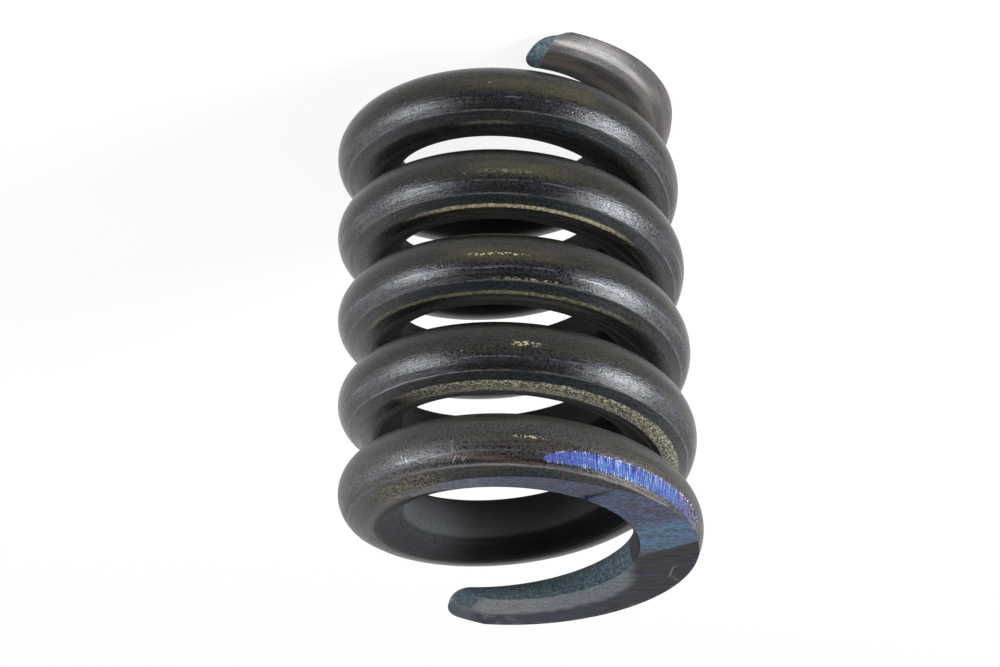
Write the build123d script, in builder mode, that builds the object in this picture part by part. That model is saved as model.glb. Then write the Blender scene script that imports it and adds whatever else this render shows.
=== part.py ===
from build123d import *
import os
from math import atan, cos, degrees, pi, radians, sin, sqrt

# Left-hand compression spring of round bar with open, ground ends, standing on its lower end.
# The origin is the middle of the lower seat, and +Z runs up the coil's axis. The front of the
# spring is its -Y side. Lengths are in millimetres and angles in degrees. An angle round the
# axis is counted from +X or from a tip, and one in the bar's section from its outer side.

# The bar and how it is wound
wire_diameter = 10.0
mean_coil_diameter = 42.0
coil_pitch = 14.2
wound_angle = 1994.7
lower_tip_angle = 259.4
levelled_angle = 90.0

# The flat that the coiling roll pressed along the whole bar
roll_flat_width = 1.9
roll_flat_angle = 58.0

# What grinding leaves of the bar at each tip
lower_tip_thickness = 2.95
upper_tip_thickness = 3.15

# Second facet of the upper end, folded down from the seat along a straight line that lies
# past the axis by this distance. Directions are counted round the axis from the upper tip.
second_facet_tilt = 1.9
second_facet_side = 234.7
second_facet_fold = 9.6

# Third facet of the upper end, a thin strip that leans in towards the bore. Its depth below
# the seat is taken at the axis, and it starts at a straight edge this far from the axis.
third_facet_tilt = 5.0
third_facet_fall = 318.0
third_facet_depth = 2.3
third_facet_side = 240.0
third_facet_edge = 8.6

# Bevel of each tip, from the seat down to the nose
nose_bevel_tilt = 12.7
nose_bevel_arc = 9.5
nose_bevel_skew = 15.8

# Edge dressing, a shallow cut along the outer shoulder of the last coil that fades at each end
dressing_angle = 26.5
dressing_width = 2.14
dressing_middle = 162.0
dressing_half_arc = 34.2
dressing_lean = 6.5

wire_radius = wire_diameter / 2
coil_radius = mean_coil_diameter / 2
outer_diameter = mean_coil_diameter + wire_diameter
lead_angle = degrees(atan(coil_pitch / (pi * mean_coil_diameter)))

# Where the pitched coils and the two tips stand
pitched_angle = wound_angle - levelled_angle
pitched_height = coil_pitch * pitched_angle / 360
junction_angle = lower_tip_angle - levelled_angle
upper_tip_angle = lower_tip_angle - wound_angle
lower_tip_height = lower_tip_thickness - wire_radius
levelled_rise = coil_radius * sin(radians(levelled_angle)) * sin(radians(lead_angle))
junction_height = lower_tip_height + levelled_rise
upper_tip_height = junction_height + pitched_height
free_length = upper_tip_height - wire_radius + upper_tip_thickness

# The dressing cut is this deep, and its ring stands off the coil so far that the cut has
# faded out at each end of its arc. The ring itself runs on half as far again.
dressing_depth = wire_radius - sqrt(wire_radius**2 - (dressing_width / 2) ** 2)
dressing_share = cos(radians(dressing_angle)) * (1 - cos(radians(dressing_half_arc)))
dressing_run_out = dressing_depth / dressing_share
ring_half_arc = 3 * dressing_half_arc / 2


def round_the_axis(angle, radius=1.0, height=0.0):
    """A point at a given angle, distance from the axis and height."""
    return Vector(radius * cos(radians(angle)), radius * sin(radians(angle)), height)


def leaning(direction, tilt, up=1):
    """A unit vector along the axis, leant over by the tilt towards a direction round it."""
    return round_the_axis(direction, sin(radians(tilt)), up * cos(radians(tilt)))


def flat_block_middle(angle, width):
    """Middle of a block, as thick as the bar's radius, that leaves a flat of the given width."""
    flat_height = sqrt(wire_radius**2 - (width / 2) ** 2)
    return round_the_axis(angle, flat_height + wire_radius / 2)


def nose_bevel(tip_angle, height, back):
    """The plane of a tip's bevel, from its line on the seat down along the bar to the nose."""
    start = tip_angle + back * nose_bevel_arc
    falls = start - back * (90 - nose_bevel_skew)
    return Plane(
        origin=round_the_axis(start, coil_radius, height),
        x_dir=round_the_axis(falls),
        z_dir=leaning(falls, nose_bevel_tilt, back),
    )


# The lower bar end bends on in one plane instead of following the pitch
junction_outward = round_the_axis(junction_angle)
bar_falls = leaning(junction_angle + 90, 90 - lead_angle, -1)
bend_centre = Vector(0, 0, junction_height)


def levelled_point(bent_angle):
    """A point of the lower bar end, at an angle bent on from the last pitched coil."""
    along = bar_falls * (coil_radius * sin(radians(bent_angle)))
    across = junction_outward * (coil_radius * cos(radians(bent_angle)))
    return bend_centre + along + across


with BuildLine() as pitched_coils:
    Helix(coil_pitch, pitched_height, coil_radius, center=tuple(bend_centre), lefthand=True)

with BuildPart() as coil_spring:
    with BuildLine() as bar_line:
        ThreePointArc(
            levelled_point(levelled_angle),
            levelled_point(levelled_angle / 2),
            levelled_point(0),
        )
        add(pitched_coils.line, rotation=junction_angle)

    # The bar, swept from its lower tip up
    centre_line = bar_line.wire()
    bar_end = Plane(
        origin=centre_line @ 0,
        x_dir=(centre_line @ 0) - bend_centre,
        z_dir=centre_line % 0,
    )
    with BuildSketch(bar_end):
        Circle(wire_radius)
        with Locations(flat_block_middle(roll_flat_angle, roll_flat_width)):
            Rectangle(wire_radius, wire_radius, rotation=roll_flat_angle, mode=Mode.SUBTRACT)
    sweep(is_frenet=True)

    # Seats, square to the axis
    split(bisect_by=Plane.XY, keep=Keep.TOP)
    split(bisect_by=Plane.XY.offset(free_length), keep=Keep.BOTTOM)

    # Second facet
    folded_side = upper_tip_angle + second_facet_side
    folded_down = Plane(
        origin=round_the_axis(folded_side, -second_facet_fold, free_length),
        z_dir=leaning(folded_side, second_facet_tilt),
    )
    split(bisect_by=folded_down, keep=Keep.BOTTOM)

    # Third facet
    strip = Plane(
        origin=(0, 0, free_length - third_facet_depth),
        x_dir=round_the_axis(upper_tip_angle + third_facet_side),
        z_dir=leaning(upper_tip_angle + third_facet_fall, third_facet_tilt),
    )
    with BuildSketch(strip):
        with Locations((third_facet_edge, 0)):
            Rectangle(outer_diameter, outer_diameter, align=(Align.MIN, Align.CENTER))
    extrude(amount=wire_diameter, mode=Mode.SUBTRACT)

    # Nose bevels
    upper_bevel = nose_bevel(upper_tip_angle, free_length, 1)
    lower_bevel = nose_bevel(lower_tip_angle, 0, -1)
    with BuildSketch(upper_bevel, lower_bevel):
        Rectangle(wire_diameter, 2 * wire_diameter, align=(Align.MIN, Align.CENTER))
    extrude(amount=wire_radius, mode=Mode.SUBTRACT)

    # Edge dressing, cut by a ring that stands a little off the coil away from its middle
    dressed_outward = round_the_axis(upper_tip_angle + dressing_middle)
    dressed_height = upper_tip_height - coil_pitch * dressing_middle / 360
    ring_radius = coil_radius / cos(radians(lead_angle)) ** 2 + dressing_run_out
    ring_axis = Axis(
        origin=dressed_outward * (coil_radius - ring_radius) + Vector(0, 0, dressed_height),
        direction=leaning(upper_tip_angle + dressing_middle + 90, dressing_lean),
    )
    ring_start = dressed_outward.rotate(ring_axis, -ring_half_arc)
    ring_section = Plane(
        origin=ring_axis.position,
        x_dir=ring_start,
        z_dir=ring_start.cross(ring_axis.direction),
    )
    with BuildSketch(ring_section):
        with Locations((ring_radius, 0)):
            with Locations(flat_block_middle(dressing_angle, dressing_width)):
                Rectangle(wire_radius, wire_radius, rotation=dressing_angle)
    revolve(axis=ring_axis, revolution_arc=2 * ring_half_arc, mode=Mode.SUBTRACT)

coil_spring.part.label = "coil_spring"

os.makedirs("parts", exist_ok=True)
export_step(coil_spring.part, "parts/coil_spring.step")
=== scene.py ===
"""Looks of a heavy left-hand coil spring with ground ends, in metres, in the part's own frame."""

import math

import bpy
import numpy as np
from mathutils import Matrix, Vector


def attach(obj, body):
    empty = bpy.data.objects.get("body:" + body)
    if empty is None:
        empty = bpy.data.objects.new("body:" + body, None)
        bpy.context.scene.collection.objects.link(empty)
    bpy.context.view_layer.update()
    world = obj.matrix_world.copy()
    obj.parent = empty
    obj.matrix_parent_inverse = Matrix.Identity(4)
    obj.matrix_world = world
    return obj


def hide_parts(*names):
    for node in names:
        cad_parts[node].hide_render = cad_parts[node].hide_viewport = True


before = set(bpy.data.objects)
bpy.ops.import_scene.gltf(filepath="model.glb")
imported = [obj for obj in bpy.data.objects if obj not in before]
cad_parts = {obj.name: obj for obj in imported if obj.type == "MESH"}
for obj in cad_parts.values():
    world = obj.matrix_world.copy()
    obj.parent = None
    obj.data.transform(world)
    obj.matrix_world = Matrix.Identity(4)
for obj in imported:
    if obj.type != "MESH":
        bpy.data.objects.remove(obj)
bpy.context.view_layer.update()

MM = 0.001

# The bar and how it is wound. Angles are in degrees, and an angle along the bar is counted
# from the upper tip down.
wire_radius = 5 * MM
coil_radius = 21 * MM
coil_pitch = 14.2 * MM
wound_angle = 1994.7
levelled_angle = 90.0
lower_tip_angle = 259.4
lower_tip_thickness = 2.95 * MM
upper_tip_thickness = 3.15 * MM

# The flat that the coiling roll pressed along the bar: its place and half width in the section
roll_flat_angle = 57.6
roll_flat_half = 10.8

# Facets of the upper end, with directions counted round the axis from the upper tip
second_facet_tilt = 1.9
second_facet_side = 234.7
second_facet_fold = 9.6 * MM
third_facet_tilt = 5.0
third_facet_fall = 318.0
third_facet_depth = 2.3 * MM
third_facet_side = 240.0
third_facet_edge = 8.6 * MM
third_facet_ramp = 0.25 * MM

# Bevel of each tip, the dome that rounds it and stands out past the flat end of the part, and
# how far the lower end slants back towards its seat
upper_bevel_tilt = 8.5
lower_bevel_tilt = 12.7
nose_bevel_arc = 9.5
nose_bevel_skew = 15.8
nose_reach = 40.0
nose_fullness = 2.4
soft_tip_arc = 5.0
upper_rounding = 1.5 * MM
upper_crown = 1.05 * MM
upper_shift = (0.7 * MM, 0.0)
lower_rounding = 0.8 * MM
lower_crown = 1.1 * MM
lower_shift = (0.0, 0.8 * MM)
lower_slant = 2.8 * MM
lower_slant_reach = 5 * MM

# Edge dressing along the outer shoulder of the last coil: its place and half width in the
# section, its middle and half length along the bar, how far it drifts up towards its ends, and
# the power by which it closes there
dressing_angle = 26.5
dressing_half = 12.3
dressing_middle = 162.0
dressing_half_arc = 35.2
dressing_drift = 8.0
dressing_power = 5

# Least slope at which a ray still meets a plane, and how far a cut is looked for
least_slope = 1e-6
farthest_cut = 3 * wire_radius

lead_angle = math.atan(coil_pitch / (2 * math.pi * coil_radius))
pitched_angle = wound_angle - levelled_angle
upper_tip_angle = lower_tip_angle - wound_angle
levelled_rise = coil_radius * math.sin(math.radians(levelled_angle)) * math.sin(lead_angle)
junction_height = lower_tip_thickness - wire_radius + levelled_rise
upper_tip_height = junction_height + coil_pitch * pitched_angle / 360
free_length = upper_tip_height - wire_radius + upper_tip_thickness
bar_per_degree = math.radians(1) * coil_radius / math.cos(lead_angle)
psi_millimetre = math.radians(1) * wire_radius / MM
wound_length = wound_angle * bar_per_degree

# Scratches on the last coil and nicks on the others, each from one place to another, as an
# angle along the bar from the upper tip and an angle round its section, and how strongly it shows
scratches = (
    ((246.5, 10.8), (245.8, 16.4), 0.4), ((243.2, 15.6), (242.9, 20.4), 0.7),
    ((241.8, 19.6), (241.4, 28.8), 1.0), ((245.4, 26.8), (237.6, 27.2), 0.6),
    ((237.4, 30.8), (236.5, 33.2), 0.8), ((233.2, 28.0), (226.3, 26.8), 0.5),
    ((225.2, 6.8), (225.4, 29.2), 0.3), ((224.3, 31.2), (225.4, 40.0), 0.9),
    ((223.2, 31.6), (223.7, 34.4), 0.6), ((222.1, 33.6), (222.5, 40.0), 0.7),
    ((220.8, 32.8), (221.9, 38.4), 0.7),
    ((1650.0, -0.8), (1650.4, 0.0), 1.0), ((1298.8, 12.0), (1299.2, 12.4), 0.8),
    ((563.2, 3.6), (563.8, 4.4), 1.4), ((581.2, 13.4), (581.6, 14.0), 0.8),
    ((937.0, 27.2), (929.0, 27.0), 0.4),
)

# A hooked scratch on the main seat and a scrape at its end, as places across and back from the
# axis, with their widths, in millimetres. Grinding streaks lie turned by an angle from +X.
hook = ((-22.2, 5.8), (-21.8, 6.2), (-21.5, 7.6), (-21.5, 8.7), (-21.2, 9.4))
hook_width = 0.10
scrape = ((-21.6, 9.3), (-22.6, 10.8))
scrape_width = 0.26
grinding_turn = 8

# Camera, as the photograph was taken: from above, and almost upside down
camera_place = Vector((0.00196, -0.32446, 0.21565))
camera_elevation = 28.77
camera_roll = 178.03
camera_lens = 89.66
camera_sensor = 36

# White floor, white backdrop with how far it leans to one side and where it starts, and the
# light of the studio away from it, which is lower overhead
floor_half = 1.5
backdrop_lean = 0.3
backdrop_edge = (-0.05, 0.55)
studio_light = 0.28
ceiling_light = 0.14
ceiling_edge = (0.2, 0.95)

# The lamps: a bright one and a broad dim one on each side, with name, azimuth from the front,
# elevation, width, height and power
lamp_distance = 0.5
lamps = (
    ("left_lamp", -66, 15, 0.20, 0.24, 3.2),
    ("right_lamp", 66, 26, 0.20, 0.32, 6.5),
    ("left_fill", -100, 8, 0.34, 0.50, 1.2),
    ("right_fill", 100, 12, 0.34, 0.50, 1.3),
)
lamp_colour = (0.90, 0.93, 1.0)


# Directions and planes


def around(angle, radius=1.0, height=0.0):
    """A point at an angle round the axis, a distance from it and a height."""
    turn = math.radians(angle)
    return np.array((radius * math.cos(turn), radius * math.sin(turn), height))


def leaning(direction, tilt, up=1):
    """A unit vector along the axis, leant by the tilt towards a direction round it."""
    lean = math.radians(tilt)
    return around(direction, math.sin(lean), up * math.cos(lean))


def nose_bevel(tip_angle, height, back, tilt):
    """Normal of a tip's bevel and a point on it, as in the part's source."""
    start = tip_angle + back * nose_bevel_arc
    falls = start - back * (90 - nose_bevel_skew)
    return leaning(falls, tilt, back), around(start, coil_radius, height)


# Shape of the bar


def ease(low, high, values):
    """Smooth step from 0 at low to 1 at high."""
    share = np.clip((values - low) / (high - low), 0, 1)
    return share * share * (3 - 2 * share)


def bar_frames(turned):
    """Centre of the bar and its outward and upward directions at angles from the upper tip.

    Down to the last quarter turn the centre is a helix that falls by the pitch. From there it
    is an arc that stays in the plane of the helix's outward and falling directions.
    """
    on_helix = np.minimum(turned, pitched_angle)
    turn = np.radians(upper_tip_angle + on_helix)
    zero = np.zeros_like(turn)
    radial = np.stack((np.cos(turn), np.sin(turn), zero), -1)
    falling = np.stack((-np.sin(turn), np.cos(turn), zero), -1) * math.cos(lead_angle)
    falling[:, 2] = -math.sin(lead_angle)
    up = np.cross(radial, falling)
    bend = np.radians(turned - on_helix)[:, None]
    outward = np.cos(bend) * radial + np.sin(bend) * falling
    middle = np.stack((zero, zero, upper_tip_height - coil_pitch * on_helix / 360), -1)
    return middle + coil_radius * outward, outward, up


def ray_to_plane(rings, angles, core, normal, point):
    """Distance from each section's core, along each angle, to a plane, or infinity."""
    centre, outward, up = rings
    along_outward = (outward @ normal)[:, None]
    along_up = (up @ normal)[:, None]
    room = ((point - centre) @ normal)[:, None] - along_up * core[:, None]
    slope = along_outward * np.cos(angles) + along_up * np.sin(angles)
    return np.where(slope > least_slope, room / np.maximum(slope, least_slope), np.inf)


def ray_to_flat(angles, core, facing, height):
    """Distance from each section's core to a flat that faces one way in the section."""
    slope = np.cos(angles - facing)
    room = height - core[:, None] * np.sin(facing)
    return np.where(slope > least_slope, room / np.maximum(slope, least_slope), np.inf)


def dressing_shape(turned):
    """Middle and half width, in degrees, of the dressed edge in the bar's section.

    The width closes towards both ends of the arc as the square root of one minus a power.
    """
    share = np.clip(np.abs(turned - dressing_middle) / dressing_half_arc, 0, 1) ** dressing_power
    return dressing_angle + dressing_drift * share, dressing_half * np.sqrt(1 - share)


def round_bar(turned, angles, core):
    """Distance to the bar's own surface: a circle with the roll flat and the dressed edge."""
    below = core[:, None]
    circle = np.sqrt(wire_radius**2 - (below * np.cos(angles)) ** 2) - below * np.sin(angles)
    roll_height = wire_radius * math.cos(math.radians(roll_flat_half))
    rolled = ray_to_flat(angles, core, math.radians(roll_flat_angle), roll_height)
    middle, half = (np.radians(values)[:, None] for values in dressing_shape(turned))
    dressed = ray_to_flat(angles, core, middle, wire_radius * np.cos(half))
    dressed = np.where(half > 0, dressed, np.inf)
    return np.minimum(np.minimum(circle, rolled), dressed)


def upper_cuts(turned, rings, angles, core):
    """Distance to the nearest of the upper end's facets."""
    top = np.array((0, 0, 1.0))
    seat = ray_to_plane(rings, angles, core, top, around(0, 0, free_length))
    side = upper_tip_angle + second_facet_side
    fold = around(side, -second_facet_fold, free_length)
    folded = ray_to_plane(rings, angles, core, leaning(side, second_facet_tilt), fold)
    facet = nose_bevel(upper_tip_angle, free_length, 1, upper_bevel_tilt)
    bevel = ray_to_plane(rings, angles, core, *facet)
    near_tip = (turned < nose_reach)[:, None]
    reach = np.minimum(np.minimum(seat, folded), np.where(near_tip, bevel, np.inf))
    reach = np.minimum(reach, farthest_cut)
    fall = leaning(upper_tip_angle + third_facet_fall, third_facet_tilt)
    strip = ray_to_plane(rings, angles, core, fall, around(0, 0, free_length - third_facet_depth))
    centre, outward, up = rings
    wall_side = around(upper_tip_angle + third_facet_side)
    past_edge = ((centre + up * core[:, None]) @ wall_side)[:, None] - third_facet_edge
    past_edge = past_edge + reach * ((outward @ wall_side)[:, None] * np.cos(angles)
                                     + (up @ wall_side)[:, None] * np.sin(angles))
    past_edge = np.where((turned > nose_reach)[:, None], past_edge, -1)
    share = ease(-third_facet_ramp, third_facet_ramp, past_edge)
    return reach + (np.minimum(strip, reach) - reach) * share


def lower_cuts(turned, rings, angles, core):
    """Distance to the lower seat and its bevel."""
    bottom = np.array((0, 0, -1.0))
    seat = ray_to_plane(rings, angles, core, bottom, np.zeros(3))
    facet = nose_bevel(lower_tip_angle, 0, -1, lower_bevel_tilt)
    bevel = ray_to_plane(rings, angles, core, *facet)
    near_tip = (turned > wound_angle - nose_reach)[:, None]
    return np.minimum(seat, np.where(near_tip, bevel, np.inf))


def section_core(rings):
    """Height of each section's core: halfway between what grinding leaves above and below."""
    centre, outward, up = rings
    above = np.clip((free_length - centre[:, 2]) / up[:, 2], -wire_radius, wire_radius)
    below = np.clip(centre[:, 2] / up[:, 2], -wire_radius, wire_radius)
    return (above - below) / 2


def ground_span(cut, bar, angles):
    """First and last angle, in degrees, at which a cut lies inside the bar's own surface.

    Each is the place between two angles where the two cross, or halfway where the cut ends.
    """
    inside = cut < bar
    any_cut = inside.any(1)
    first = inside.argmax(1)
    last = inside.shape[1] - 1 - inside[:, ::-1].argmax(1)
    rows = np.arange(len(cut))
    gap = np.where(np.isfinite(cut), cut - bar, np.nan)
    step = angles[1] - angles[0]

    def crossing(index, way):
        other = np.clip(index + way, 0, len(angles) - 1)
        here, there = gap[rows, index], gap[rows, other]
        share = here / np.where(here == there, 1, here - there)
        return angles[index] + way * step * np.clip(np.nan_to_num(share, nan=0.5), 0, 1)

    start, end = crossing(first, -1), crossing(last, 1)
    return np.where(any_cut, start, np.nan), np.where(any_cut, end, np.nan)


# Grid of the bar's surface: rings along it, and four runs of columns round it. Columns start
# at one edge of the upper seat and run over it, the bore side, the lower seat and the outside.
seat_columns = 30
inner_columns = 20
outer_columns = (7, 8, 6)
bottom_column = seat_columns + inner_columns
free_half = 54.0
least_half = 8.0
least_gap = 1.5
seat_gather = 0.55
settle_arc = 60.0
probe_step = 0.5
fine_length = 108 * MM
fine_step = 0.34 * MM
plain_step = 1.0 * MM
tip_rings = 13


def ring_angles():
    """Angles of the rings, and the share to which each shrinks in the dome on its bar end.

    The dome is a superellipse: distance past its start and size of the ring, each as a share,
    have powers of the same exponent that add up to one.
    """
    share = np.linspace(math.pi / 2, 0, tip_rings, endpoint=False)[1:]
    height = np.sin(share) ** (2 / nose_fullness)
    upper_dome = upper_rounding - (upper_rounding + upper_crown) * height
    lower_dome = lower_rounding - (lower_rounding + lower_crown) * height
    fine = np.arange(upper_rounding, fine_length, fine_step)
    plain_rings = int((wound_length - fine_length) / plain_step)
    plain = np.linspace(fine_length, wound_length - lower_rounding, plain_rings)
    along = np.concatenate((upper_dome, fine, plain, (wound_length - lower_dome)[::-1]))
    shrink = np.ones_like(along)
    shrink[:len(share)] = np.cos(share) ** (2 / nose_fullness)
    shrink[-len(share):] = shrink[:len(share)][::-1]
    return along / bar_per_degree, shrink


def follow_seat(turned, start, end, free_middle, from_start):
    """Middle and half width of the seat's columns, eased to an even spread past the seat."""
    middle, half = (start + end) / 2, (end - start) / 2
    found = np.where(np.isfinite(middle))[0]
    edge = found[-1] if from_start else found[0]
    past = (turned - turned[edge]) * (1 if from_start else -1)
    middle = np.where(past > 0, middle[edge], middle)
    half = np.maximum(np.where(past > 0, half[edge], half), least_half)
    share = ease(0, settle_arc, past)
    return middle + (free_middle - middle) * share, half + (free_half - half) * share


def spread(low, high, count, gather):
    """Evenly spaced angles from low to high, gathered towards both ends by a share."""
    even = np.linspace(0, 1, count, endpoint=False)[None, :]
    gathered = (1 - np.cos(math.pi * even)) / 2
    share = even + (gathered - even) * gather[:, None]
    return low[:, None] + (high - low)[:, None] * share


def outer_side(turned, low, high):
    """Columns of the outer side, in three runs that meet at the edges of the dressed edge."""
    middle, half = dressing_shape(turned)
    half = np.maximum(half, least_half / 2)
    share = np.clip(np.abs(turned - dressing_middle) / dressing_half_arc, 1, 2) - 1
    bottom = middle - half + (low + (high - low) / 3 - middle + half) * share
    top = middle + half + (high - (high - low) / 3 - middle - half) * share
    top = np.minimum(top, high - least_gap)
    bottom = np.minimum(bottom, top - least_half / 2)
    knots = (low, bottom, top, high)
    even = np.zeros_like(turned)
    runs = [spread(first, last, count, even)
            for first, last, count in zip(knots, knots[1:], outer_columns)]
    return np.concatenate(runs, 1)


def probed_span(turned, rings, core, cuts, first_angle):
    """Span of one end's cuts in every section, found by probes all round it."""
    probe = np.radians(np.arange(first_angle, first_angle + 360, probe_step))
    bar = round_bar(turned, probe[None, :], core)
    return ground_span(cuts(turned, rings, probe[None, :], core), bar, np.degrees(probe))


def column_angles(turned, rings, core):
    """Angle of every column on every ring, so that columns run along the edges of both seats.

    With them come the rings on which the upper and the lower seat were found.
    """
    start, end = probed_span(turned, rings, core, upper_cuts, -90)
    upper_found = np.isfinite(start)
    top_middle, top_half = follow_seat(turned, start, end, 90, True)
    start, end = probed_span(turned, rings, core, lower_cuts, 90)
    lower_found = np.isfinite(start)
    bottom_middle, bottom_half = follow_seat(turned, start, end, 270, False)
    at_top = turned < wound_angle / 2
    share = free_half / (180 - free_half)
    top_middle = np.where(at_top, top_middle, bottom_middle - 180)
    bottom_middle = top_middle + 180
    top_half = np.where(at_top, top_half, (180 - bottom_half) * share)
    bottom_half = np.where(at_top, (180 - top_half) * share, bottom_half)
    past_seat = np.where(at_top, turned - turned[upper_found].max(),
                         turned[lower_found].min() - turned)
    gather = seat_gather * (1 - ease(0, settle_arc, past_seat))
    even = np.zeros_like(turned)
    angles = np.concatenate((
        spread(top_middle - top_half, top_middle + top_half, seat_columns, gather),
        spread(top_middle + top_half, bottom_middle - bottom_half, inner_columns, even),
        spread(bottom_middle - bottom_half, bottom_middle + bottom_half, seat_columns, gather),
        outer_side(turned, bottom_middle + bottom_half - 360, top_middle - top_half) + 360,
    ), 1)
    return np.radians(angles), upper_found, lower_found


def slant_share(heights):
    """How much of the lower end's slant a point at a height takes, from 1 on the seat."""
    return np.clip(1 - heights / lower_tip_thickness, 0, 1)


def bar_points(turned, shrink, rings, core, angles):
    """Points of the rings and the two poles, and the place of each on the straightened bar.

    A point of a ring lies at the least of the distances, from the section's core, to the round
    bar and to each cut. Rings shrink and shift towards each end as a dome, and near the lower
    end they slant back towards the seat. A place is the millimetres along the bar and the
    cosine and sine of the angle in its section.
    """
    centre, outward, up = rings
    reach = np.minimum(round_bar(turned, angles, core), upper_cuts(turned, rings, angles, core))
    reach = np.minimum(reach, lower_cuts(turned, rings, angles, core)) * shrink[:, None]
    shift = np.where((turned < wound_angle / 2)[:, None], upper_shift, lower_shift)
    shift = shift * (1 - shrink[:, None])
    across = reach * np.cos(angles) + shift[:, :1]
    above = core[:, None] + reach * np.sin(angles) + shift[:, 1:]
    grid = (centre[:, None, :] + outward[:, None, :] * across[..., None]
            + up[:, None, :] * above[..., None])
    near_end = ease(wound_length - lower_slant_reach, wound_length, turned * bar_per_degree)
    slant = near_end[:, None] * slant_share(grid[..., 2]) * lower_slant
    grid = grid - np.cross(up, outward)[:, None, :] * slant[..., None]

    past = np.array((-upper_crown, wound_length + lower_crown)) / bar_per_degree
    poles, outward, up = bar_frames(past)
    shift = np.array((upper_shift, lower_shift))
    poles = poles + outward * shift[:, :1] + up * (core[[0, -1], None] + shift[:, 1:])
    poles[1] -= np.cross(up[1], outward[1]) * (slant_share(poles[1, 2]) * lower_slant)

    along = turned * bar_per_degree / MM
    section = np.arctan2(above, across)
    along_ring = np.broadcast_to(along[:, None], section.shape)
    straight = np.stack((along_ring, np.cos(section), np.sin(section)), -1).reshape(-1, 3)
    pole_places = np.array(((along[0], 0, 0), (along[-1], 0, 0)))
    return (np.concatenate((grid.reshape(-1, 3), poles)),
            np.concatenate((straight, pole_places)))


def face_finishes(upper_ring, lower_ring, columns):
    """Finish of every face: 1 and 2 on the upper and lower ground faces, and 0 elsewhere."""
    column = np.arange(columns)
    top = column < seat_columns
    bottom = (column >= bottom_column) & (column < bottom_column + seat_columns)
    finish = np.zeros((len(upper_ring) - 1, columns), np.int32)
    finish[(upper_ring[1:] & upper_ring[:-1])[:, None] & top] = 1
    finish[(lower_ring[1:] & lower_ring[:-1])[:, None] & bottom] = 2
    return np.concatenate((finish.ravel(), np.zeros(2 * columns, np.int32)))


def bar_mesh(name, vertices, columns, finish):
    """Mesh of quads between the rings, and of a fan of triangles round the pole at each end."""
    first_pole, last_pole = len(vertices) - 2, len(vertices) - 1
    last_row = first_pole - columns
    row = np.arange(0, last_row, columns)[:, None]
    ring = np.arange(columns)
    ahead = (ring + 1) % columns
    quads = np.stack((row + ring, row + columns + ring, row + columns + ahead, row + ahead), -1)
    first_fan = np.stack((ring, ahead, np.full(columns, first_pole)), -1)
    last_fan = np.stack((last_row + ahead, last_row + ring, np.full(columns, last_pole)), -1)
    loops = np.concatenate((quads.ravel(), first_fan.ravel(), last_fan.ravel()))
    sizes = np.concatenate((np.full(quads.size // 4, 4), np.full(2 * columns, 3)))
    starts = np.concatenate(((0,), np.cumsum(sizes)[:-1]))
    mesh = bpy.data.meshes.new(name)
    mesh.vertices.add(len(vertices))
    mesh.vertices.foreach_set("co", vertices.astype(np.float32).ravel())
    mesh.loops.add(len(loops))
    mesh.loops.foreach_set("vertex_index", loops.astype(np.int32))
    mesh.polygons.add(len(sizes))
    mesh.polygons.foreach_set("loop_start", starts.astype(np.int32))
    mesh.polygons.foreach_set("material_index", finish)
    mesh.polygons.foreach_set("use_smooth", np.ones(len(sizes), bool))
    mesh.update(calc_edges=True)
    mesh.validate()
    return mesh


def sharpen_seats(mesh, turned, upper_ring, lower_ring, columns):
    """Make the edges of both ground faces crisp, except close to the upper tip."""
    edge_ends = np.zeros(len(mesh.edges) * 2, np.int32)
    mesh.edges.foreach_get("vertices", edge_ends)
    ring, column = np.divmod(edge_ends.reshape(-1, 2), columns)
    last_ring = len(turned) - 1
    along_bar = (column[:, 0] == column[:, 1]) & (ring <= last_ring).all(1)
    low_ring = np.minimum(ring.min(1), last_ring)
    high_ring = np.minimum(ring.max(1), last_ring)
    on_top = np.isin(column[:, 0], (0, seat_columns)) & (turned[low_ring] >= soft_tip_arc)
    on_bottom = np.isin(column[:, 0], (bottom_column, bottom_column + seat_columns))
    crisp = along_bar & ((on_top & upper_ring[low_ring] & upper_ring[high_ring])
                         | (on_bottom & lower_ring[low_ring] & lower_ring[high_ring]))
    sharp = mesh.attributes.new("sharp_edge", "BOOLEAN", "EDGE")
    sharp.data.foreach_set("value", crisp)


def wound_bar(name, finishes):
    """The whole wound bar as one closed surface.

    Each ring is the bar's section at one angle from the upper tip, and a point closes each end.
    """
    turned, shrink = ring_angles()
    rings = bar_frames(turned)
    core = section_core(rings)
    angles, upper_found, lower_found = column_angles(turned, rings, core)
    vertices, straight = bar_points(turned, shrink, rings, core, angles)
    columns = angles.shape[1]
    upper_ring, lower_ring = upper_found & (shrink == 1), lower_found & (shrink == 1)
    mesh = bar_mesh(name, vertices, columns, face_finishes(upper_ring, lower_ring, columns))
    place = mesh.attributes.new("straight_bar", "FLOAT_VECTOR", "POINT")
    place.data.foreach_set("vector", straight.astype(np.float32).ravel())
    sharpen_seats(mesh, turned, upper_ring, lower_ring, columns)
    for material in finishes:
        mesh.materials.append(material)
    piece = bpy.data.objects.new(name, mesh)
    bpy.context.scene.collection.objects.link(piece)
    return piece


# Materials

# Depths of the fine relief and of the coarser one, and the refractive index of the bar's skin
fine_relief = 0.05 * MM
coarse_relief = 0.08 * MM
skin_index = 1.42
scratch_width = 0.05
floor_glow = 0.88


def rgb(red, green, blue):
    return (red, green, blue, 1.0)


# Crust colour for painted shade on the outer side of the bar tips
crust_shade = rgb(0.014, 0.017, 0.026)


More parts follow.
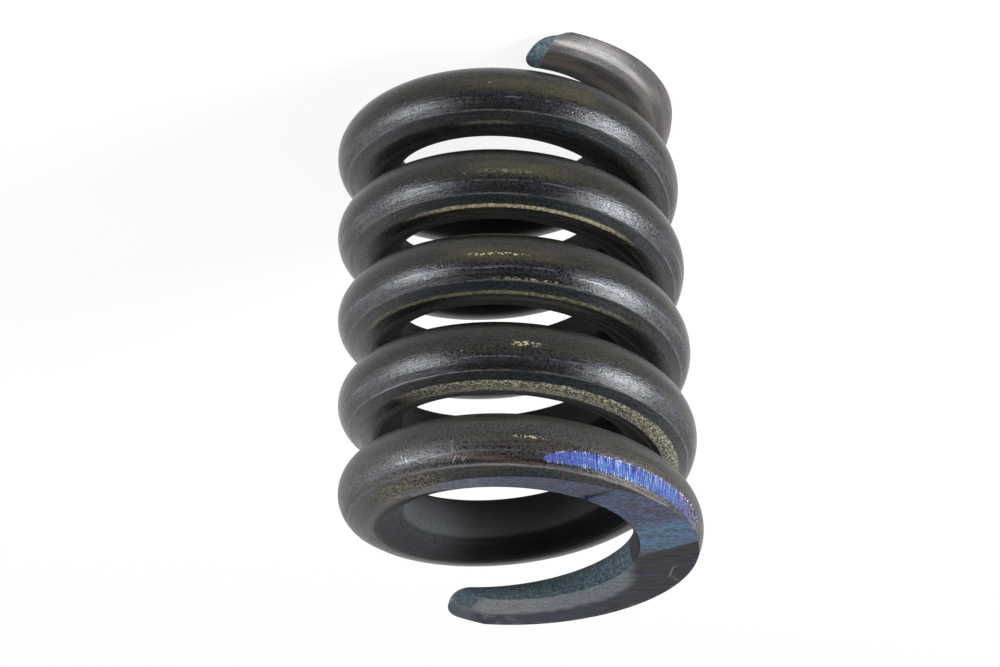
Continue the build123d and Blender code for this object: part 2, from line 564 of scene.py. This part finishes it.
class Field:
    """A number that varies over the surface. Its sums, products and steps are made as nodes."""

    def __init__(self, finish, socket):
        self.finish, self.socket = finish, socket

    def __add__(self, other):
        return self.finish.math("ADD", self, other)

    def __sub__(self, other):
        return self.finish.math("SUBTRACT", self, other)

    def __rsub__(self, other):
        return self.finish.math("SUBTRACT", other, self)

    def __mul__(self, other):
        return self.finish.math("MULTIPLY", self, other)

    def __or__(self, other):
        return self.finish.math("MAXIMUM", self, other)

    __radd__, __rmul__ = __add__, __mul__

    def size(self):
        return self.finish.math("ABSOLUTE", self)

    def step(self, low, high, start=0.0, end=1.0):
        """Smooth step from start, where the number is low, to end, where it is high."""
        inputs = {"Value": self, "From Min": low, "From Max": high, "To Min": start, "To Max": end}
        kind = {"interpolation_type": "SMOOTHSTEP"}
        return Field(self.finish, self.finish.node("ShaderNodeMapRange", kind, inputs).outputs[0])

    def below(self, limit, soft):
        return self.step(limit - soft, limit + soft, 1.0, 0.0)

    def above(self, limit, soft):
        return self.step(limit - soft, limit + soft)

    def within(self, low, high, soft):
        return self.above(low, soft) * self.below(high, soft)


class Finish:
    """The nodes of a material or a world, with short names for those that work values out."""

    def __init__(self, data):
        data.use_nodes = True
        self.data, self.tree = data, data.node_tree
        self.tree.nodes.clear()

    def node(self, kind, settings, inputs):
        made = self.tree.nodes.new(kind)
        for key, value in settings.items():
            setattr(made, key, value)
        for key, value in inputs.items():
            if isinstance(value, Field):
                value = value.socket
            if isinstance(value, bpy.types.NodeSocket):
                self.tree.links.new(value, made.inputs[key])
            else:
                made.inputs[key].default_value = value
        return made

    def math(self, operation, *values):
        made = self.node("ShaderNodeMath", {"operation": operation}, dict(enumerate(values)))
        return Field(self, made.outputs[0])

    def layered(self, colour, *layers):
        """A colour with others laid over it in turn, each given as its mask and its colour."""
        for mask, over in layers:
            inputs = {0: mask, 6: colour, 7: over}
            colour = self.node("ShaderNodeMix", {"data_type": "RGBA"}, inputs).outputs[2]
        return colour

    def stretched(self, vector, scale, turn=0.0):
        inputs = {"Vector": vector, "Rotation": (0, 0, math.radians(turn)), "Scale": scale}
        return self.node("ShaderNodeMapping", {}, inputs).outputs[0]

    def noise(self, vector, scale, detail=2.0, roughness=0.5):
        inputs = {"Vector": vector, "Scale": scale, "Detail": detail, "Roughness": roughness}
        return Field(self, self.node("ShaderNodeTexNoise", {}, inputs).outputs["Fac"])

    def bump(self, height, distance, below=None):
        inputs = {"Height": height, "Strength": 1.0, "Distance": distance}
        if below is not None:
            inputs["Normal"] = below
        return self.node("ShaderNodeBump", {}, inputs).outputs[0]

    def split(self, vector):
        parts = self.node("ShaderNodeSeparateXYZ", {}, {0: vector}).outputs
        return [Field(self, part) for part in parts]

    def joined(self, *parts):
        return self.node("ShaderNodeCombineXYZ", {}, dict(enumerate(parts))).outputs[0]

    def places(self):
        """The place in millimetres, and the place on the bar as if it were straight.

        turned is the angle along the bar from the upper tip, and psi the angle in its section
        from the outer side towards the upper end, both in degrees. off is the distance from the
        middle of the bar away from the coil's axis.
        """
        coordinates = self.node("ShaderNodeTexCoord", {}, {}).outputs["Object"]
        self.place = self.stretched(coordinates, (1 / MM, 1 / MM, 1 / MM))
        attribute = self.node("ShaderNodeAttribute", {"attribute_name": "straight_bar"}, {})
        straight = attribute.outputs["Vector"]
        self.along, self.outward, upward = self.split(straight)
        self.psi = self.math("ARCTAN2", upward, self.outward) * math.degrees(1)
        self.turned = self.along * (MM / bar_per_degree)
        self.skin = self.stretched(straight, (1, wire_radius / MM, wire_radius / MM))
        self.across, self.back, _ = self.split(self.place)
        from_axis = self.math("SQRT", self.across * self.across + self.back * self.back)
        self.off = from_axis - coil_radius / MM

    def line(self, across, over, first, last, width):
        """1 on a straight line between two points, in millimetres of the two fields given."""
        reach = math.hypot(last[0] - first[0], last[1] - first[1])
        lead, rise = (last[0] - first[0]) / reach, (last[1] - first[1]) / reach
        across, over = across - first[0], over - first[1]
        run = self.math("MINIMUM", (across * lead + over * rise) | 0.0, reach)
        across, over = across - run * lead, over - run * rise
        return self.math("SQRT", across * across + over * over).below(width, width)

    def scratch(self, first, last, strength):
        """A scratch on the bar between two places, each an angle along and one round."""
        first, last = [(place[0] * bar_per_degree / MM, place[1] * psi_millimetre)
                       for place in (first, last)]
        mark = self.line(self.along, self.psi * psi_millimetre, first, last, scratch_width)
        return mark * strength

    def crust(self):
        """Dark teal crust: its height and its colour."""
        crust = self.noise(self.place, 1.9, 4.0, 0.8)
        return crust, self.layered(
            rgb(0.020, 0.027, 0.032),
            (crust.step(0.40, 0.58), rgb(0.052, 0.080, 0.090)),
            (crust.step(0.60, 0.72), rgb(0.22, 0.26, 0.26)),
        )

    def shade(self, colour, roughness, metallic, normal, index):
        inputs = {"Base Color": colour, "Roughness": roughness, "Metallic": metallic,
                  "Normal": normal, "IOR": index}
        shader = self.node("ShaderNodeBsdfPrincipled", {}, inputs)
        self.node("ShaderNodeOutputMaterial", {}, {"Surface": shader.outputs[0]})
        return self.data


def dressed_hatch(skin, worn):
    """Blue, hatched finish of the dressed edge: its mask, its colour and its strokes."""
    share = skin.math("POWER", (skin.turned - dressing_middle).size() * (1 / dressing_half_arc),
                      dressing_power)
    from_middle = skin.psi - (share * dressing_drift + dressing_angle)
    half = skin.math("SQRT", (1 - share) | 0.0) * dressing_half
    inside = half - from_middle.size()

    # Strokes across the edge, leant a little along the bar, and slower changes of tint
    arc = skin.psi * psi_millimetre
    leant = skin.along + arc * 0.3
    strokes = skin.noise(skin.joined(leant * 7.6, arc * 0.36, 0.0), 1.0, 2.0, 0.7)
    tints = skin.noise(skin.joined(leant * 1.3, arc * 0.3, 4.0), 1.0, 1.0)
    mask = (inside + (strokes - 0.5) * 10.0).step(-0.8, 0.8) * half.step(1.0, 3.0)
    turned = skin.turned + (tints - 0.5) * 24

    # Blues, then pale glints, and the duller, worn end towards the tip
    glints = strokes.step(0.62, 0.68) * (turned.below(150, 12) | from_middle.above(6, 3) * 0.7)
    lower_border = inside.within(-1.6, 1.2, 0.6) * skin.psi.below(24, 2)
    colour = skin.layered(
        rgb(0.030, 0.044, 0.150),
        (tints.step(0.42, 0.58), rgb(0.032, 0.078, 0.172)),
        (strokes.step(0.54, 0.62), rgb(0.145, 0.170, 0.265)),
        (strokes.step(0.46, 0.38), rgb(0.012, 0.010, 0.048)),
        (turned.above(186, 6) * 0.6, rgb(0.040, 0.046, 0.17)),
        (glints, rgb(0.42, 0.39, 0.47)),
        (turned.below(166, 8) * 0.25, rgb(0.020, 0.018, 0.050)),
        (turned.below(146, 7) * 0.7, rgb(0.055, 0.045, 0.088)),
        (turned.below(137, 5) * worn.step(0.42, 0.56), rgb(0.095, 0.086, 0.090)),
        (turned.below(142, 7) * worn.step(0.45, 0.36), rgb(0.008, 0.008, 0.012)),
        (lower_border * worn.step(0.50, 0.58) * turned.below(192, 6), rgb(0.50, 0.40, 0.36)),
    )
    return mask, colour, strokes


def tempered_bar():
    """Dark tempered bar with the marks that drawing, coiling and peening left along it, and light
    and shade painted onto it.
    """
    skin = Finish(bpy.data.materials.new("tempered_bar"))
    skin.places()
    turned, psi = skin.turned, skin.psi

    # Patterns: broad patches, marks drawn out along the bar, breaks in its lines, and grains
    mottle = skin.noise(skin.stretched(skin.skin, (0.25, 1, 1)), 0.45, 2.0)
    drawn = skin.noise(skin.stretched(skin.skin, (0.05, 1, 1)), 2.6, 3.0, 0.65)
    breaks = skin.noise(skin.stretched(skin.skin, (1, 0.6, 0.6)), 0.55, 2.0)
    dashes = skin.noise(skin.stretched(skin.skin, (0.5, 1, 1)), 3.2, 1.0)
    beads = skin.noise(skin.stretched(skin.skin, (0.7, 1, 1)), 3.4, 2.0)
    grain = skin.noise(skin.place, 2.5, 2.0, 0.6)
    specks = skin.noise(skin.place, 3.6, 1.0)
    peened = skin.noise(skin.place, 4.4, 2.0, 0.6)
    lines = psi + (breaks - 0.5) * 3.0

    # Regions: the bore side, the front of the last coil and the lower bar end
    inner = skin.outward.below(-0.1, 0.16)
    last_coil = turned.below(300, 40) * psi.below(62, 6)
    low_end = turned.above(1885, 30)

    # Tones round the section, painted by how light falls on it: warm, a cooler band where the
    # highlights lie, darker below it, a dark groove, the roll flat, and painted shade on the side
    # that faces into the gaps.
    # Then patches, fine drawn marks, lighter peening grains as painted glints, pits painted dark
    # as shade, painted shade on the front of the lower coils and on the bore side, and a painted
    # sheen on part of the bore side.
    # Peening pits painted dark as shade, most where the highlights lie, less on the bore side and
    # the lower bar end
    pit_shade = (psi.within(12, 44, 8) * 0.36 + 0.44 - inner * 0.42
                 - turned.above(1900, 30) * 0.2)
    shaded_pits = (grain + peened * 2).step(1.45, 1.33) * pit_shade
    # Painted sheen on part of the bore side near the upper end
    bore_sheen = turned.within(264, 350, 16) * (psi.above(94, 10) | inner)
    colour = skin.layered(
        rgb(0.0062, 0.0058, 0.0034),
        (lines.step(10, 20), rgb(0.0085, 0.0085, 0.0115)),
        (lines.above(34, 3), rgb(0.006, 0.006, 0.006)),
        (lines.within(46.8, 68.4, 0.8), rgb(0.008, 0.0095, 0.0105)),
        (psi.within(80, 140, 6), rgb(0.003, 0.003, 0.0025)),
        (mottle.step(0.45, 0.7) * 0.5, rgb(0.020, 0.016, 0.010)),
        (drawn.step(0.5, 0.3) * 0.5, rgb(0.005, 0.005, 0.005)),
        (turned.above(1150, 250) * psi.below(22, 12) * 0.7, rgb(0.0045, 0.0045, 0.0018)),
        (last_coil * mottle.step(0.62, 0.40, 0.05, 0.30), rgb(0.050, 0.052, 0.046)),
        (peened.step(0.58, 0.68) * 0.4, rgb(0.040, 0.038, 0.034)),
        (shaded_pits, rgb(0.002, 0.002, 0.002)),
        (inner * 0.5, rgb(0.006, 0.006, 0.005)),
        (bore_sheen * grain.step(0.3, 0.7, 0.6, 1.0) * 0.7, rgb(0.054, 0.056, 0.058)),
    )

    # Lines that run along the bar: painted shade in the groove, a painted highlight along the roll
    # flat's shoulder, a thin painted sheen line, a faint line on the far side, and painted
    # highlight lines on two coils
    groove = lines.within(36.5, 43.5, 1.5)
    shoulder = lines.within(45.9, 48.3, 1.1) * breaks.step(0.32, 0.55, 0.15, 0.7)
    sheen_line = lines.within(24.0, 26.0, 0.6) * breaks.step(0.45, 0.58, 0.15, 1.0)
    far_line = lines.within(98.0, 101.0, 0.8) * turned.within(380, 1400, 40)
    highlight_lines = (turned.within(578, 618, 14) * lines.within(46.6, 49.2, 0.8) * 0.75
                  | turned.within(876, 902, 5) * psi.within(28.6, 31.2, 0.8) * 0.9)
    colour = skin.layered(
        colour,
        (groove * 0.7, rgb(0.004, 0.004, 0.005)),
        (shoulder * 0.8, rgb(0.085, 0.085, 0.085)),
        (sheen_line * 0.6, rgb(0.075, 0.075, 0.085)),
        (far_line * 0.6, rgb(0.045, 0.045, 0.040)),
        (highlight_lines * drawn.step(0.40, 0.58), rgb(0.19, 0.19, 0.20)),
    )

    # Gold lines and the rough gold band, both where the coiling roll lost touch
    gold_turns = (turned.within(1240, 1318, 14) | turned.within(880, 992, 14) * 0.36
                  | turned.within(1640, 1660, 6) * 0.2)
    gold = gold_turns * lines.within(66.2, 72.8, 1.2) * specks.step(0.34, 0.50, 0.45, 1.0)
    gold_colour = skin.layered(
        rgb(0.15, 0.13, 0.070), (grain.step(0.42, 0.58), rgb(0.27, 0.245, 0.155)))
    band = turned.within(474, 606, 10) * lines.within(65.5, 89.5, 1.2)
    wide_part = turned.above(530, 25)
    band_colour = skin.layered(
        rgb(0.085, 0.076, 0.046),
        (specks.step(0.42, 0.60), rgb(0.20, 0.185, 0.128)),
        (lines.above(78, 2) * wide_part * 0.5, rgb(0.075, 0.070, 0.050)),
    )
    rows = lines.within(74, 79, 2.5) * 0.08 * wide_part
    band_pits = band * (rows + beads * (-1) + 0.5).step(-0.04, 0.08)
    colour = skin.layered(
        colour,
        (band, band_colour),
        (band_pits * 0.85, rgb(0.018, 0.017, 0.012)),
        (gold * 0.85, gold_colour),
    )

    # Warm haze and gold flecks where the coils face the front
    front = (turned.within(912, 948, 10) | turned.within(1268, 1300, 10)
             | turned.within(1600, 1664, 20))
    haze = front * psi.within(-10, 14, 6) * mottle.step(0.3, 0.6)
    flecked = (turned.within(921, 938, 2) * lines.within(2.0, 6.0, 1.0)
               | turned.within(1278, 1293, 4) * psi.within(6, 12, 2) * 0.22
               | turned.within(558, 566, 1.5) * psi.within(-1, 7, 2) * 0.8
               | turned.within(197, 206, 1.5) * psi.within(1, 5, 1)
               | turned.within(909, 930, 3) * psi.within(42, 46, 1) * 0.45)

    # Rust on the last coil, a rough patch, the worn rim of the ground face, and scratches
    rust_line = turned.within(193, 228, 4) * (psi - (turned - 229) * (-0.35)).within(30, 36, 2)
    rough_patch = turned.within(232, 262, 8) * psi.within(52, 92, 8) * grain.step(0.44, 0.60)
    rim = turned.within(128, 250, 8) * lines.within(46.5, 50.5, 1.2) * drawn.step(0.36, 0.56)
    marks = skin.scratch(*scratches[0])
    for ends in scratches[1:]:
        marks = marks | skin.scratch(*ends)
    dressed, dressed_colour, strokes = dressed_hatch(skin, grain)
    colour = skin.layered(
        colour,
        (haze * 0.6, rgb(0.038, 0.031, 0.014)),
        (flecked * (dashes + peened).step(1.0, 1.12), rgb(0.36, 0.29, 0.15)),
        (rust_line * drawn.step(0.42, 0.56) * 0.7, rgb(0.070, 0.036, 0.022)),
        (last_coil * drawn.step(0.50, 0.62) * 0.6, rgb(0.034, 0.022, 0.018)),
        (rough_patch * 0.7, rgb(0.110, 0.092, 0.052)),
        (rim * 0.8, rgb(0.120, 0.108, 0.090)),
        (marks, rgb(0.22, 0.22, 0.22)),
        (dressed, dressed_colour),
    )

    # Brownish skin of the lower bar end, with one painted highlight line
    end_highlight = lines.within(47, 55, 4) * turned.above(1945, 14) * (drawn + mottle).step(0.70, 1.10)
    end_tone = skin.layered(
        rgb(0.020, 0.019, 0.018),
        ((mottle + drawn * 0.25).step(0.46, 0.78), rgb(0.050, 0.039, 0.033)),
        (end_highlight * 0.8, rgb(0.30, 0.28, 0.25)),
    )

    # Dark teal crust on the inner wall by the upper tip, and on both end faces
    wall = (turned + (mottle - 0.5) * 8).below(101, 1.5) * inner
    crusted = wall | turned.below(5.0, 0.6) | turned.above(wound_angle - 4.6, 0.6)
    crust, crust_colour = skin.crust()
    tip_shadow = turned.below(6, 2) * skin.outward.above(0.35, 0.4)
    crust_colour = skin.layered(crust_colour, (tip_shadow * 0.8, crust_shade))
    colour = skin.layered(
        colour,
        (low_end * psi.above(-60, 20) * 0.9, end_tone),
        (crusted, crust_colour),
    )

    roughness = (drawn.step(0.3, 0.7, 0.20, 0.32) + turned.below(330, 60) * 0.12
                 + low_end * 0.14 + inner * 0.50 + crusted * 0.15 - sheen_line * 0.08
                 + dressed * 0.24)
    # Painted shade on the side that faces into the gaps: metallic over the near-black colour there
    shaded_far_side = psi.within(88, 150, 5) * 0.85 * (1 - low_end)
    metallic = dressed * 0.9 | shaded_pits * 0.85 | (shaded_far_side - gold * 0.7 - band * 0.7)
    height = ((grain * 0.7 + peened) * (1 - low_end * 0.5) + drawn * 0.5 + shoulder * 0.4
              - groove * 0.3)
    coarse_height = crust * crusted * 3.0 + strokes * dressed * 1.2 - band_pits * 0.8
    normal = skin.bump(coarse_height, coarse_relief, skin.bump(height, fine_relief))
    return skin.shade(colour, roughness, metallic, normal, skin_index)


def ground_end():
    """Ground faces of the upper end, tinted by heat, with painted shade at a step and by the tip.
    """
    face = Finish(bpy.data.materials.new("ground_end"))
    face.places()
    turned, off = face.turned, face.off

    # Patterns: patches, and streaks that grinding left across the face
    waves = face.noise(face.place, 0.5, 2.0)
    broad = face.noise(face.place, 0.28, 2.0)
    streaks = face.noise(face.stretched(face.place, (0.3, 2.3, 1), grinding_turn), 1.0, 4.0, 0.65)
    bands = face.noise(face.stretched(face.place, (0.3, 1.2, 1), grinding_turn), 0.9, 2.0)
    grain = face.noise(face.stretched(face.place, (0.7, 1.3, 1), grinding_turn), 2.6, 3.0, 0.65)
    shift = (waves - 0.5) * 12 + (grain - 0.5) * 12
    shifted = turned + shift

    def beyond(direction, distance):
        """How far a place lies past a line round the axis, in millimetres."""
        lead, rise, _ = around(direction)
        return face.across * float(lead) + face.back * float(rise) + distance

    fold = beyond(upper_tip_angle + second_facet_side, second_facet_fold / MM)
    past_fold = fold + (waves - 0.5) * 0.7
    past_wall = beyond(upper_tip_angle + third_facet_side, -third_facet_edge / MM)
    second = past_fold.above(0, 0.1)

    # Main seat: pale towards the tip, navy along its outer edge, brown-violet past that
    outer = (off + turned * 0.018 + (waves - 0.5) * 2.0 + (grain - 0.5) * 2.5).above(0.85, 0.8)
    specked = turned.below(24, 10) * waves.step(0.50, 0.60) * grain.step(0.44, 0.54)
    violet = (shifted + off * 6.2).above(68.4, 8)
    violet_streaks = (streaks * 0.6 + bands * 0.4).step(0.51, 0.58)
    seat_colour = face.layered(
        rgb(0.152, 0.157, 0.168),
        (shifted.above(38, 9), rgb(0.104, 0.126, 0.148)),
        (outer * shifted.below(80, 6), rgb(0.004, 0.012, 0.028)),
        (outer * specked * 0.7, rgb(0.120, 0.130, 0.160)),
        (violet, rgb(0.004, 0.003, 0.005)),
        (violet * violet_streaks, rgb(0.033, 0.022, 0.049)),
    )

    # Second facet, with a teal band across it
    second_colour = face.layered(
        rgb(0.030, 0.038, 0.100),
        (broad.step(0.45, 0.6), rgb(0.044, 0.033, 0.062)),
        ((turned + shift * 0.7).within(116, 139, 3.5), rgb(0.054, 0.152, 0.264)),
        (shifted.above(157, 5), rgb(0.036, 0.056, 0.130)),
        (streaks.step(0.52, 0.60) * 0.7, rgb(0.086, 0.148, 0.305)),
        (streaks.step(0.49, 0.41) * 0.75, rgb(0.020, 0.015, 0.032)),
    )

    # Third facet
    third_colour = face.layered(
        rgb(0.006, 0.022, 0.070),
        (waves.step(0.45, 0.6), rgb(0.026, 0.026, 0.062)),
        (turned.above(216, 6), rgb(0.068, 0.076, 0.120)),
        (turned.above(236, 4) * grain.step(0.46, 0.56), rgb(0.090, 0.076, 0.040)),
    )

    # The facets side by side, each with a dark edge, that along the third facet's step painted as
    # shade, then dark and pale grains and chips
    deep = (violet | outer) * (1 - second)
    chips = (off + grain * 5).above(7.25, 0.25) * (1 - second)
    colour = face.layered(
        seat_colour,
        (second, second_colour),
        (past_fold.within(-0.35, 0.02, 0.12), rgb(0.030, 0.027, 0.038)),
        (past_wall.above(0, 0.1), third_colour),
        (past_wall.within(-0.15, 0.25, 0.08), rgb(0.022, 0.022, 0.030)),
        (grain.step(0.53, 0.41) * (0.7 - deep * 0.6), rgb(0.016, 0.018, 0.030)),
        (bands.step(0.50, 0.42) * (0.4 - deep * 0.4), rgb(0.050, 0.056, 0.066)),
        (grain.step(0.52, 0.64) * (0.3 - deep * 0.26), rgb(0.15, 0.18, 0.27)),
        (chips * waves.step(0.44, 0.56), rgb(0.11, 0.095, 0.060)),
    )

    # Hooked scratch with a scrape at its end, and dark teal crust by the tip, as on the dome, with
    # painted shade on its outer part
    for first, last in zip(hook, hook[1:]):
        mark = face.line(face.across, face.back, first, last, hook_width)
        colour = face.layered(colour, (mark * 0.7, rgb(0.19, 0.19, 0.22)))
    scraped = face.line(face.across, face.back, *scrape, scrape_width)
    tip = (turned + shift * 0.4 - off * 0.3).below(6.5, 2)
    crust, crust_colour = face.crust()
    crust_colour = face.layered(crust_colour, (off.above(0.4, 0.9) * 0.8, crust_shade))
    colour = face.layered(
        colour,
        (scraped * grain.step(0.40, 0.56) * 0.6, rgb(0.15, 0.14, 0.10)),
        (tip, crust_colour),
    )
    roughness = streaks.step(0.3, 0.7, 0.30, 0.42) + tip * 0.12 + deep * 0.12
    normal = face.bump(streaks * 0.8 + grain * 0.4 + crust * tip * 2.0, fine_relief)
    return face.shade(colour, roughness, 1 - tip, normal, skin_index)


def lower_seat():
    """Ground face of the lower end, which the photograph hides: plain ground steel."""
    face = Finish(bpy.data.materials.new("lower_seat"))
    face.places()
    streaks = face.noise(face.stretched(face.place, (0.16, 1.6, 1), grinding_turn), 1.0, 4.0, 0.65)
    colour = face.layered(
        rgb(0.13, 0.13, 0.145), (streaks.step(0.4, 0.65), rgb(0.20, 0.205, 0.22)))
    return face.shade(colour, 0.38, 0.9, face.bump(streaks, fine_relief), 1.5)


def pale_floor():
    """White to the camera and in reflections, with a share of its own shading for the shadow."""
    finish = Finish(bpy.data.materials.new("pale_floor"))
    diffuse = finish.node("ShaderNodeBsdfDiffuse", {}, {"Color": rgb(0.85, 0.85, 0.85)})
    glow = finish.node("ShaderNodeEmission", {}, {"Color": rgb(1, 1, 1), "Strength": 1.0})
    kinds = finish.node("ShaderNodeLightPath", {}, {}).outputs
    seen = (Field(finish, kinds["Is Camera Ray"]) | kinds["Is Glossy Ray"]
            | kinds["Is Transmission Ray"])
    inputs = {0: seen * floor_glow, 1: diffuse.outputs[0], 2: glow.outputs[0]}
    mixed = finish.node("ShaderNodeMixShader", {}, inputs)
    finish.node("ShaderNodeOutputMaterial", {}, {"Surface": mixed.outputs[0]})
    return finish.data


# Stage


def make_floor():
    corners = [(-1, -1), (1, -1), (1, 1), (-1, 1)]
    mesh = bpy.data.meshes.new("floor")
    mesh.from_pydata([(x * floor_half, y * floor_half, 0) for x, y in corners], [], [(0, 1, 2, 3)])
    mesh.materials.append(pale_floor())
    floor = bpy.data.objects.new("floor", mesh)
    bpy.context.scene.collection.objects.link(floor)


def soft_lamp(name, azimuth, elevation, width, height, power):
    """An area lamp that faces the middle of the spring."""
    aim = Vector((0, 0, free_length / 2))
    turn, rise = math.radians(azimuth), math.radians(elevation)
    level = math.cos(rise)
    away = Vector((-math.sin(turn) * level, -math.cos(turn) * level, math.sin(rise)))
    data = bpy.data.lights.new(name, "AREA")
    data.shape = "RECTANGLE"
    data.size, data.size_y = width, height
    data.energy = power
    data.color = lamp_colour
    lamp = bpy.data.objects.new(name, data)
    lamp.location = aim + away * lamp_distance
    lamp.rotation_euler = away.to_track_quat("Z", "Y").to_euler()
    bpy.context.scene.collection.objects.link(lamp)


def light_stage():
    """White backdrop behind the spring, a dimmer studio round and above it, and the lamps.

    Rays from the camera see white all round. Reflections see the backdrop white, as the camera
    does, and the rest of the studio as bright as it lights the spring.
    """
    studio = Finish(bpy.data.worlds.new("studio"))
    bpy.context.scene.world = studio.data
    direction = studio.node("ShaderNodeTexCoord", {}, {}).outputs["Generated"]
    across, back, height = studio.split(direction)
    kinds = studio.node("ShaderNodeLightPath", {}, {}).outputs
    backdrop = (back + across * backdrop_lean).step(*backdrop_edge)
    reflected = (Field(studio, kinds["Is Glossy Ray"]) | kinds["Is Transmission Ray"]) * backdrop
    white = reflected | kinds["Is Camera Ray"]
    dim = height.step(*ceiling_edge, studio_light, ceiling_light)
    strength = dim + (1 - dim) * white
    shader = studio.node("ShaderNodeBackground", {}, {"Color": rgb(1, 1, 1), "Strength": strength})
    studio.node("ShaderNodeOutputWorld", {}, {"Surface": shader.outputs[0]})
    for lamp in lamps:
        soft_lamp(*lamp)


def make_camera():
    """The camera stands in front, looks down, and is rolled almost upside down."""
    rise, roll = math.radians(camera_elevation), math.radians(camera_roll)
    back = Vector((0, -math.cos(rise), math.sin(rise)))
    level_right = Vector((1, 0, 0))
    level_up = back.cross(level_right)
    right = math.cos(roll) * level_right + math.sin(roll) * level_up
    up = -math.sin(roll) * level_right + math.cos(roll) * level_up
    facing = Matrix((right, up, back)).transposed().to_4x4()
    data = bpy.data.cameras.new("camera")
    data.sensor_width = camera_sensor
    data.lens = camera_lens
    data.clip_start, data.clip_end = 0.01, 10
    camera = bpy.data.objects.new("camera", data)
    camera.matrix_world = Matrix.Translation(camera_place) @ facing
    bpy.context.scene.collection.objects.link(camera)
    bpy.context.scene.camera = camera


spring = wound_bar("wound_bar", (tempered_bar(), ground_end(), lower_seat()))
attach(spring, "root")
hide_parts("coil_spring")

make_floor()
light_stage()
make_camera()
bpy.context.scene.view_settings.view_transform = "Standard"
